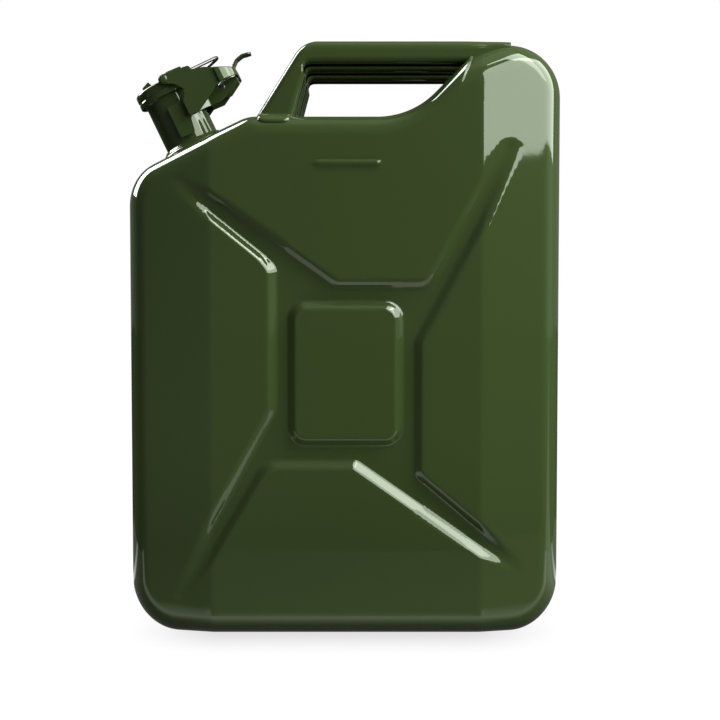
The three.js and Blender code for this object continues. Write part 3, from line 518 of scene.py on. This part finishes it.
# Foot plates: the turned-out feet of the two outer handles, oblongs of the same steel strip, pressed over the
# rounded top edge of the body and welded down before painting.
plate_middle, plate_half, top_round = (-54.6, 3.4), (13.2, 11.2), 16
plate_share = np.array([0, 0.6, 1, 1, 0.97, 0.92, 0.85, 0.75, 0.6, 0.4, 0.2, 0])[:, None]
plate_height = np.array([-0.8, -0.8, -0.8, 0.2, 1.1, 1.65, 2.0, 2.2, 2.3, 2.35, 2.35, 2.35])[:, None]


def foot_plate(side):
    """A domed oblong on the body's top edge: rings shrink from its round-cornered outline to the middle while
    the height above the round of the body rises."""
    turn = np.linspace(0, 2 * np.pi, 96, endpoint=False)[None]
    across, deep = (np.sign(way) * np.abs(way) ** 0.5 for way in (np.cos(turn), np.sin(turn)))
    x = plate_middle[0] + plate_share * plate_half[0] * across
    over = plate_middle[1] + plate_share * plate_half[1] * deep
    angle = np.maximum(over, 0) / top_round
    y = half_depth - top_round + np.minimum(over, 0) + (top_round + plate_height) * np.sin(angle)
    z = body_corners[5, 1] - top_round + (top_round + plate_height) * np.cos(angle)
    return np.stack([x, side * y, z], -1)


for name, side in (("foot_plate_front", -1), ("foot_plate_back", 1)):
    made = sheet_piece(name, *closed_skin(foot_plate(side)), enamel)
    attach(made, "can")

# Filler neck: a drawn steel tube with a rolled lip, set square on the shoulder and brazed into a flared
# collar. Round pieces of the closure are turned about its axis: u along the shoulder, v across it and w up
# the neck.
neck_section = softened(
    [
        (20.8, 20), (20.8, -4), (22.3, -4), (22.3, 49.6, 1.2), (23.8, 50.4, 0.8), (23.8, 53, 1.1),
        (21.6, 53, 0.8), (20.8, 51, 0.6), (20.8, 20),
    ]
)[:-1]
collar_section = softened(
    [
        (22.6, 4), (22.6, 0.3), (29, 0.3), (29, 5.4, 3.4), (25.6, 7.4, 2.5), (24.2, 9.2, 0.8),
        (22.6, 9.4, 0.4), (22.6, 4),
    ]
)[:-1]


def in_closure(u, v, w):
    """Points given along the shoulder, across it and up the neck, in the frame of the can."""
    x = neck_foot[0] + u * math.cos(shoulder) - w * math.sin(shoulder)
    z = neck_foot[1] + u * math.sin(shoulder) + w * math.cos(shoulder)
    return np.stack(np.broadcast_arrays(x, v, z), -1)


def turned(radius, height, turn):
    """A closed half section carried round the neck's axis: points, and faces that wrap both ways."""
    points = in_closure(radius * np.cos(turn), radius * np.sin(turn), height)
    return points, outwards(points.reshape(-1, 3), grid_faces(*points.shape[:2], wrap_rows=True))


def ring_piece(name, section, finish):
    """A piece turned from a closed half section of (radius, height) points."""
    turn = np.linspace(0, 2 * np.pi, 96, endpoint=False)
    return sheet_piece(name, *turned(section[:, :1], section[:, 1:], turn), finish)


neck = ring_piece("filler_neck", neck_section, enamel)
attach(neck, "can")
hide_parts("neck")
collar = ring_piece("neck_collar_ring", collar_section, enamel)
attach(collar, "can")
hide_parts("neck_collar")

# Hinge bracket: one strap with a flat pad welded on each side of the neck, drawn together behind it into two
# ears that carry the hinge pin, and a web between the ears behind the neck.
strap_plan = softened([(-5, 24.2), (9.46, 24.2, 2), (27.46, 12.9, 3), (54.3, 12.9)], 8)
strap_low = [
    (-5, 14.2), (-4, 13.3), (6.4, 12.5), (7.4, 13.2), (9.3, 25.2), (10.6, 26.6), (24, 28.2), (37, 27.6),
    (53.8, 37.1), (54.3, 37.7),
]
strap_high = [(-5, 39.6), (-4, 40.4), (9, 39.3), (53, 40.5), (54.3, 38.4)]
plate_sheet = 1.6


def standing_band(plan, columns, rows, low, high):
    """A band that stands on its line in plan, raised from a lower to an upper edge, both given as (u, w)
    points."""
    u, v = evenly(plan, columns)[1].T[..., None]
    foot, crest = (np.interp(u, *np.transpose(edge)) for edge in (low, high))
    share = np.linspace(0, 1, rows)
    return in_closure(u, v, foot * (1 - share) + crest * share)


bracket_sides = [standing_band(strap_plan * [1, side], 90, 14, strap_low, strap_high) for side in (-1, 1)]
side_faces = grid_faces(90, 14, wrap_columns=False)
bracket_faces = np.concatenate([side_faces, side_faces[:, ::-1] + 90 * 14])
bracket = sheet_piece("hinge_bracket_strap", bracket_sides, bracket_faces, enamel)
thicken(bracket, plate_sheet)
ease_edges(bracket, 0.7, 2)
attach(bracket, "can")
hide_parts("hinge_bracket")


def plates(name, outlines, finish, edge_width):
    """Flat pieces of one sheet metal part as one object: each side outline is carried across from one v to
    another and closed by the outline itself at both ends, and the cut edges are softened."""
    points, faces, base = [], [], 0
    for outline, *ends in outlines:
        count = len(outline)
        points += [in_closure(outline[:, 0], v, outline[:, 1]) for v in ends]
        ring = np.arange(count) + base
        after = np.roll(ring, -1)
        skin = np.stack([ring, after, after + count, ring + count], 1).tolist()
        skin += [ring[::-1].tolist(), (ring + count).tolist()]
        area = cross(outline, np.roll(outline, -1, 0)).sum()
        faces += [face[::-1] for face in skin] if area > 0 else skin
        base += 2 * count
    made = sheet_piece(name, np.concatenate(points), faces, finish, sharp=30)
    ease_edges(made, edge_width, 3)
    return made


def loop(*points):
    """Closed outline with rounded corners from (u, w, radius) corners; the first corner is left sharp."""
    return softened(list(points) + [points[0]], 7)[:-1]


web_outline = np.array([[27.3, 29], [28.9, 29], [28.9, 38], [27.3, 38]])
web = plates("bracket_web", [(web_outline, -12, 12)], enamel, 0.3)
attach(web, "can")

# Lever yoke: two cheeks folded down from a bridge over the lid. Their arms carry the cross pin in front, and
# an eye in each takes the bail. It turns on the hinge pin together with the thumb lever.
cheek = loop(
    (2.6, 57.2), (-1.6, 57.2, 3.9), (-1.6, 65.7, 4.1), (21.4, 63.2, 3), (25.9, 62.4, 2.2), (26.6, 58.8, 1.2),
    (36.3, 56.2, 4), (45.7, 51.3), (45.7, 40.0), (42.2, 40.4, 3), (28.3, 31.6, 3), (18.4, 26.0, 2),
    (9.4, 26.0, 1.6), (9.4, 38.6, 3), (15.2, 46.4, 4), (8.5, 54.5, 4),
)
bridge = loop((6.6, 64.0), (19.5, 63.3), (19.3, 64.9, 0.3), (6.8, 65.6, 0.3))
yoke_plates = [(cheek, -30.6, -29.0), (cheek, 29.0, 30.6), (bridge, -30.2, 30.2)]
yoke = plates("lever_yoke_plates", yoke_plates, enamel, 0.45)
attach(yoke, "lever")
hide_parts("lever_yoke")

# Thumb lever: two heel plates between the ears on the hinge pin, a rear wall that turns the corner from cheek
# to cheek on a 14 mm radius, and a finger tab that rises from the middle of the wall. All are steel sheet.
heel = loop((37.5, 32.5), (46, 31.2, 2), (56.6, 37.6, 0.8), (56.6, 42, 0.8), (37.5, 42.5, 1))
wall_plan = softened([(43.1, -30.65), (57.2, -30.65, 14), (57.2, 30.65, 14), (43.1, 30.65)], 20)
wall_low = [(43.1, 39.9), (46, 39.7), (53, 40.0), (57.2, 40.6)]
wall_high = [(43.1, 52.7), (46, 51.4), (50, 49.6), (57.2, 46.8)]
tab_line = [[56.4, 40], [56.5, 46], [57.8, 50.6], [61.8, 54.1], [67.8, 55.6], [75.4, 54.3]]
tab_half, tab_corner, tab_sheet_half = 7.0, 3, 0.9


def finger_tab():
    """A strip carried along the tab's side line, which is smoothed by averaging neighbours; its half width
    shrinks by a quarter circle at the end corners."""
    line = tab_line
    for _ in range(4):
        length, line = evenly(line, 60)
        line[1:-1] = (line[:-2] + line[1:-1] * 2 + line[2:]) / 4
    along = unit(np.gradient(line, axis=0))
    up = np.stack([-along[:, 1], along[:, 0]], 1)
    left = length[-1] - length
    corner = np.sqrt(np.clip(1 - (1 - left / tab_corner) ** 2, 0, 1))
    half = np.where(left < tab_corner, tab_half - tab_corner + tab_corner * corner, tab_half)
    section = np.array([[-1, -1], [1, -1], [1, 1], [-1, 1]]) * [1, tab_sheet_half]
    at = line[:, None] + up[:, None] * section[None, :, 1:]
    return in_closure(at[..., 0], half[:, None] * section[None, :, 0], at[..., 1])


thumb = plates("thumb_lever_plates", [(heel, -11.0, -9.4), (heel, 9.4, 11.0)], enamel, 0.4)
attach(thumb, "lever")
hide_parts("thumb_lever")
wall_points = standing_band(wall_plan, 141, 10, wall_low, wall_high)
wall = sheet_piece("lever_rear_wall", wall_points, grid_faces(141, 10, wrap_columns=False), enamel)
thicken(wall, plate_sheet)
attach(wall, "lever")
tab_points = finger_tab().reshape(-1, 3)
tab_ends = np.array([[0, 1, 2, 3], [3, 2, 1, 0]]) + np.array([[0], [len(tab_points) - 4]])
tab_faces = np.concatenate([grid_faces(len(tab_points) // 4, 4), tab_ends])
tab = sheet_piece("finger_tab", tab_points, outwards(tab_points, tab_faces), enamel)
ease_edges(tab, 0.6, 3, angle=40)
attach(tab, "lever")

# Lid: a dish pressed from steel sheet inside a rolled rim, with a bead round its skirt. The rim is pressed
# down on both sides to clear the cross pin on which the lid hangs.
lid_section = softened(
    [
        (2.3, 57.4), (2.3, 56.8), (25.4, 56.8), (25.4, 50.2), (26.6, 50.2, 0.4), (26.6, 53.6, 1.2),
        (25.9, 55, 1), (26.6, 56.4, 1.2), (26.6, 62.3, 2.4), (22.1, 62.3, 1.9), (22.0, 58.0, 1.2),
        (2.3, 58.0), (2.3, 57.4),
    ]
)[:-1]
pin = np.array([2.6, 61.4])
rim_from, slot_half, slot_floor = 21, 2.2, 59.3


def slotted_lid():
    """The lid's section carried round the neck's axis, with the rim's height held down near the cross pin."""
    turn = np.linspace(0, 2 * np.pi, 240, endpoint=False)
    radius, height = lid_section[:, :1], lid_section[:, 1:]
    in_slot = (radius > rim_from) & (np.abs(radius * np.cos(turn) - pin[0]) < slot_half)
    return turned(radius, np.where(in_slot, np.minimum(height, slot_floor), height), turn)


lid = sheet_piece("lid_cap", *slotted_lid(), enamel, sharp=34)
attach(lid, "cap")
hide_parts("cap_lid")

# Lid saddle: a strap of steel sheet bent over the cross pin and welded into the dish, with a wedge in front
# of it that stops the lid.
arch = np.linspace(np.pi, 0, 13)
half_circle = np.stack([np.cos(arch), np.sin(arch)], 1)
strap_outline = np.concatenate(
    [
        [[-9, 58.3], [-4.9, 58.3], [-4.9, 59.5], [0.5, 59.5]],
        pin + 2.1 * half_circle,
        [[4.7, 59.5], [4.9, 59.5], [4.9, 58.3], [12, 58.3], [12, 59.3], [5.7, 60.5]],
        (pin + 3.1 * half_circle)[::-1],
        [[-0.5, 60.5], [-6.6, 60.2], [-9, 59.3]],
    ]
)
lug = loop((-16.5, 58.3), (-7.5, 58.3), (-7.5, 59.3, 0.5), (-10, 65, 1.5), (-11.2, 69, 0.8), (-18, 66, 0.8))
saddle = plates("lid_saddle_strap", [(strap_outline, -14, 14), (lug, -7, 7)], enamel, 0.25)
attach(saddle, "cap")
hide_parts("cap_saddle")

# Lid gasket, retainer and rivet: a moulded ring of black rubber held against the underside of the lid by a
# zinc plated disc, with one plated rivet through the middle of lid and disc.
gasket_section = softened(
    [(10, 55), (10, 53.3, 0.4), (25.1, 53.3, 0.6), (25.1, 56.5, 0.3), (10, 56.5, 0.3), (10, 55)]
)[:-1]
disc_section = softened(
    [(2.3, 52.4), (2.3, 51.6), (17.5, 51.6, 0.5), (17.5, 53, 0.2), (2.3, 53), (2.3, 52.4)]
)[:-1]
rivet_section = softened(
    [
        (0, 50.4), (3.6, 50.4, 1.0), (4.6, 51.3, 0.2), (2, 51.3), (2, 58.3), (4.6, 58.3, 0.2),
        (3.8, 59.2, 0.6), (0, 59.2),
    ]
)


def plated(name, tone):
    """Plated steel of one grey tone: faint mottle between the tone and a quarter more, and a soft sheen."""
    material, tree, shader, place = finish_of(name)
    mottle = tree.node("TexNoise", Vector=place, Scale=420.0, Detail=3.0)
    shade = mixed(tree, mottle, (tone, tone, tone), (1.25 * tone, 1.25 * tone, 1.28 * tone))
    feed(tree, shader, "Base Color", shade)
    feed(tree, shader, "Roughness", 0.24 + 0.08 * mottle)
    shader.inputs["Metallic"].default_value = 1.0
    return material


def black_rubber():
    """Moulded rubber: a dull black with a fine dusty grain."""
    material, tree, shader, place = finish_of("black_rubber")
    grain = tree.node("TexNoise", Vector=place, Scale=900.0, Detail=2.0)
    feed(tree, shader, "Base Color", mixed(tree, grain, (0.012, 0.012, 0.012), (0.03, 0.03, 0.029)))
    feed(tree, shader, "Roughness", 0.6 + 0.2 * grain)
    feed(tree, shader, "Normal", tree.node("Bump", Strength=0.4, Distance=1.0, Height=0.00002 * grain))
    return material


zinc = plated("bright_zinc", 0.2)
gasket = ring_piece("gasket_ring", gasket_section, black_rubber())
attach(gasket, "cap")
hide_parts("cap_gasket")
disc = ring_piece("retainer_disc", disc_section, zinc)
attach(disc, "cap")
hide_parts("gasket_retainer")
rivet_turn = np.linspace(0, 2 * np.pi, 48, endpoint=False)
rivet_rings = turned(rivet_section[:, :1], rivet_section[:, 1:], rivet_turn)[0]
rivet = sheet_piece("lid_rivet", *closed_skin(rivet_rings), zinc)
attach(rivet, "cap")
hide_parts("cap_rivet")

# Pins: the bright steel hinge rivet through ears and heel plates, and the painted cross pin that carries the
# lid between the arms of the yoke. Each is headed over at both ends.
head_edge = 0.4


def headed_pin(u, w, radius, seat, head_radius, head_height):
    """A round pin across the closure with a domed head at each end: its half section carried round its own
    axis."""
    dome = np.linspace(0, np.pi / 2, 8)
    rise = seat + head_edge + (head_height - head_edge) * np.sin(dome)
    head = np.stack([head_radius * np.cos(dome), rise], 1)
    half = np.concatenate([[[radius, 0], [radius, seat], [head_radius, seat]], head])
    half[-1, 0] = 0
    section = np.concatenate([(half * [1, -1])[::-1], half[1:]])
    turn = np.linspace(0, 2 * np.pi, 40, endpoint=False)
    around, across = section[:, :1], section[:, 1:]
    return closed_skin(in_closure(u + around * np.cos(turn), across, w + around * np.sin(turn)))


hinge_pin = sheet_piece("hinge_rivet", *headed_pin(42.5, 37.8, 2.2, 13.2, 3.6, 1.6), zinc)
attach(hinge_pin, "can")
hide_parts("hinge_pin")
cross_pin = sheet_piece("lid_cross_pin", *headed_pin(*pin, 1.8, 30.9, 3.4, 1.5), enamel)
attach(cross_pin, "lever")
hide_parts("cross_pin")

# Safety bail: a loop of dull plated wire hung in the cheeks, its legs drawn together to a narrow end at the
# rear that lies a little higher than the eyes.
wire_radius, eye, bail_run, bail_rise = 1.4, (22.6, 59.6), 25.8, 3.7


def wire(path, radius, sides=16):
    """A round section carried along a path in (u, v, w): two directions square to the path span each ring,
    and each end is drawn to a point."""
    along = unit(np.gradient(path, axis=0))
    first = np.array([0.0, 0.0, 1.0])
    first = unit(first - along * (along @ first)[:, None])
    second = np.cross(along, first)
    turn = np.linspace(0, 2 * np.pi, sides, endpoint=False)[None, :, None]
    rings = path[:, None] + radius * (np.cos(turn) * first[:, None] + np.sin(turn) * second[:, None])
    rings[[0, -1]] = rings[[0, -1]].mean(1, keepdims=True)
    return in_closure(rings[..., 0], rings[..., 1], rings[..., 2])


bail_plan = softened(
    [(22.6, -32), (22.6, -24, 4), (48.4, -3.4, 6.5), (48.4, 3.4, 6.5), (22.6, 24, 4), (22.6, 32)], 9
)
bail_path = np.concatenate([bail_plan, eye[1] + bail_rise * (bail_plan[:, :1] - eye[0]) / bail_run], 1)
dull = plated("dull_wire", 0.07)
bail = sheet_piece("bail_wire", *closed_skin(wire(bail_path, wire_radius)), dull, sharp=60)
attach(bail, "bail")
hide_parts("safety_bail")

# Breather tube: a thin zinc plated pipe inside the can, from the neck's mouth under the top to the air in the
# hump. The CAD node stays and takes the plated finish.
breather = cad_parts["breather_tube"]
breather.data.materials.clear()
breather.data.materials.append(zinc)

# Studio: a wide softbox at the right with two small key lights, a tall softbox behind at the left, and a low
# card on the floor that lifts the foot of the face. Floor and surround are white to the camera, and dimmer in
# what the enamel mirrors. Lengths from here on are metres.
floor_half = 6.0
# Depth and fall-off of the contact shadow painted on the floor round the can's foot, seen by the camera only.
camera_white, painted_shadow_depth, painted_shadow_fall, can_foot = 1.04, 0.33, -300.0, (0.09, 0.055)
# Painted glow of the floor, seen only in reflections and bounced light: a grey table, two bright strips by
# the can, a pool of light at the right and a lighter front left.
table_half, table_middle, table_grey, beyond_grey = (0.5, 0.417), -0.02, 0.17, 0.03
strip_outer, strip_inner, strip_glow = (0.165, 0.13), (0.085, 0.11), 1.1
patch_middle, patch_edge, patch_start, patch_glow = -0.05, (0.15, 0.08), (0.2, 0.4), 0.7
corner_glow = 0.3


def ramp(value, start, end):
    """0 up to 1 as the value goes from start to end, rising or falling, and level past both."""
    return value.node("MapRange", i0=value, i1=start, i2=end)


def studio_floor():
    """To the camera, white less a painted contact shadow that fades by a bell curve from the can's foot. In
    reflections, a grey table with a brighter strip of painted glow in front of the can and one behind, and
    past the table's edges a dark floor that is lighter towards the front left; a painted pool of light at the
    right lifts both."""
    material = bpy.data.materials.new("studio_floor")
    material.use_nodes = True
    tree = Value(material.node_tree)
    nodes = material.node_tree.nodes
    nodes.remove(nodes["Principled BSDF"])
    place = tree.node("TexCoord", out=3)
    x, y = (tree.node("SeparateXYZ", out=k, Vector=place) for k in (0, 1))
    from_middle = (x, y, y - table_middle, y - patch_middle)
    wide, deep, off_table, off_patch = (tree.maths("ABSOLUTE", way, 0.0) for way in from_middle)
    outside = (wide - can_foot[0], deep - can_foot[1], x * -1.0, y * -1.0)
    over, past, left, ahead = (tree.maths("MAXIMUM", way, 0.0) for way in outside)
    # Painted contact shadow: the camera's white is darkened by a bell curve round the can's foot.
    shade = tree.maths("POWER", 2.718, painted_shadow_fall * (over * over + past * past))
    # Painted pool of light at the right, and painted strips of glow in front of and behind the can.
    patch = patch_glow * ramp(off_patch, *patch_edge) * ramp(x, *patch_start)
    strips = strip_glow * ramp(deep, *strip_outer) * ramp(deep, *strip_inner)
    away = tree.node("VectorMath", {"operation": "LENGTH"}, 1, i0=place)
    corner = corner_glow * (left * ahead) * tree.maths("POWER", away, -2.0)
    seen = tree.node("Emission", Color=camera_white - painted_shadow_depth * shade)
    table = tree.node("Emission", Color=table_grey + patch + strips)
    beyond = tree.node("Emission", Color=beyond_grey + patch + corner)
    across_table = tree.maths("LESS_THAN", wide, table_half[0])
    along_table = tree.maths("LESS_THAN", off_table, table_half[1])
    mirrored = tree.node("MixShader", i0=across_table * along_table, i1=beyond, i2=table)
    surface = tree.node("MixShader", i0=tree.node("LightPath", out=0), i1=mirrored, i2=seen)
    material.node_tree.links.new(surface.socket, nodes["Material Output"].inputs["Surface"])
    return material


floor_points = np.array([[-1, -1, 0], [1, -1, 0], [1, 1, 0], [-1, 1, 0]]) * floor_half / MM
floor = sheet_piece("floor", floor_points, np.array([[0, 1, 2, 3]]), studio_floor())


def softbox(name, azimuth, elevation, distance, width, height, power):
    """A rectangular light facing a point in the can, placed by compass angle from the front, height angle and
    distance from that point."""
    middle = np.array([0, 0, 0.3])
    light = bpy.data.lights.new(name, "AREA")
    light.shape, light.size, light.size_y, light.energy = "RECTANGLE", width, height, power
    lamp = bpy.data.objects.new(name, light)
    bpy.context.scene.collection.objects.link(lamp)
    a, e = math.radians(azimuth), math.radians(elevation)
    aim = np.array([math.sin(a) * math.cos(e), -math.cos(a) * math.cos(e), math.sin(e)])
    lamp.location = aim * distance + middle
    lamp.rotation_euler = (math.pi / 2 - e, 0, a)
    return lamp


softbox("softbox_right", 66, 32.9, 1.33, 2.3, 1.22, 70)
softbox("key_right", 62, 60, 1.25, 0.7, 0.5, 11)
softbox("key_low", 63, 36.4, 1.045, 0.34, 0.54, 3.2)
softbox("softbox_left", -117, 36, 1.4, 0.55, 1.3, 38)
floor_card = softbox("floor_card", 0, -90, 0.29, 0.5, 0.1, 0.4)
floor_card.location.y, floor_card.data.spread = -0.2, math.radians(115)
floor_card.visible_glossy = floor_card.visible_camera = False

room_glow, back_glow, front_left_glow, end_glow, end_edge = 0.06, 0.1, 0.22, 0.4, (0.9, 0.99)
world = bpy.data.worlds.new("studio")
world.use_nodes = True
bpy.context.scene.world = world
sky = Value(world.node_tree)
toward = sky.node("TexCoord", out=0)
aside, behind, above = (sky.node("SeparateXYZ", out=k, Vector=toward) for k in (0, 1, 2))
front_left = sky.maths("MAXIMUM", aside * -1.0, 0.0) * sky.maths("MAXIMUM", behind * -1.0, 0.0)
glow = room_glow + back_glow * ramp(behind, 0.2, 0.7) + front_left_glow * front_left
glow = glow + end_glow * ramp(aside, *end_edge) + end_glow * ramp(above, *end_edge)
shown = glow + (1 - glow) * sky.node("LightPath", out=0)
world.node_tree.links.new(shown.socket, world.node_tree.nodes["Background"].inputs["Color"])

# Camera: before the front panel, a little above the middle of the can, looking down by 3.2 degrees. Its focal
# length is given in pixels of a 720 pixel frame.
sensor, focal_pixels, frame_pixels, tilt = 36, 1421.9, 720, 3.2
camera_data = bpy.data.cameras.new("camera")
camera_data.lens, camera_data.sensor_width = sensor * focal_pixels / frame_pixels, sensor
camera = bpy.data.objects.new("camera", camera_data)
camera.location = (0.0125, -1.19, 0.2802)
camera.rotation_euler = (math.radians(90 - tilt), 0, 0)
bpy.context.scene.collection.objects.link(camera)
bpy.context.scene.camera = camera
bpy.context.scene.view_settings.view_transform = "Standard"
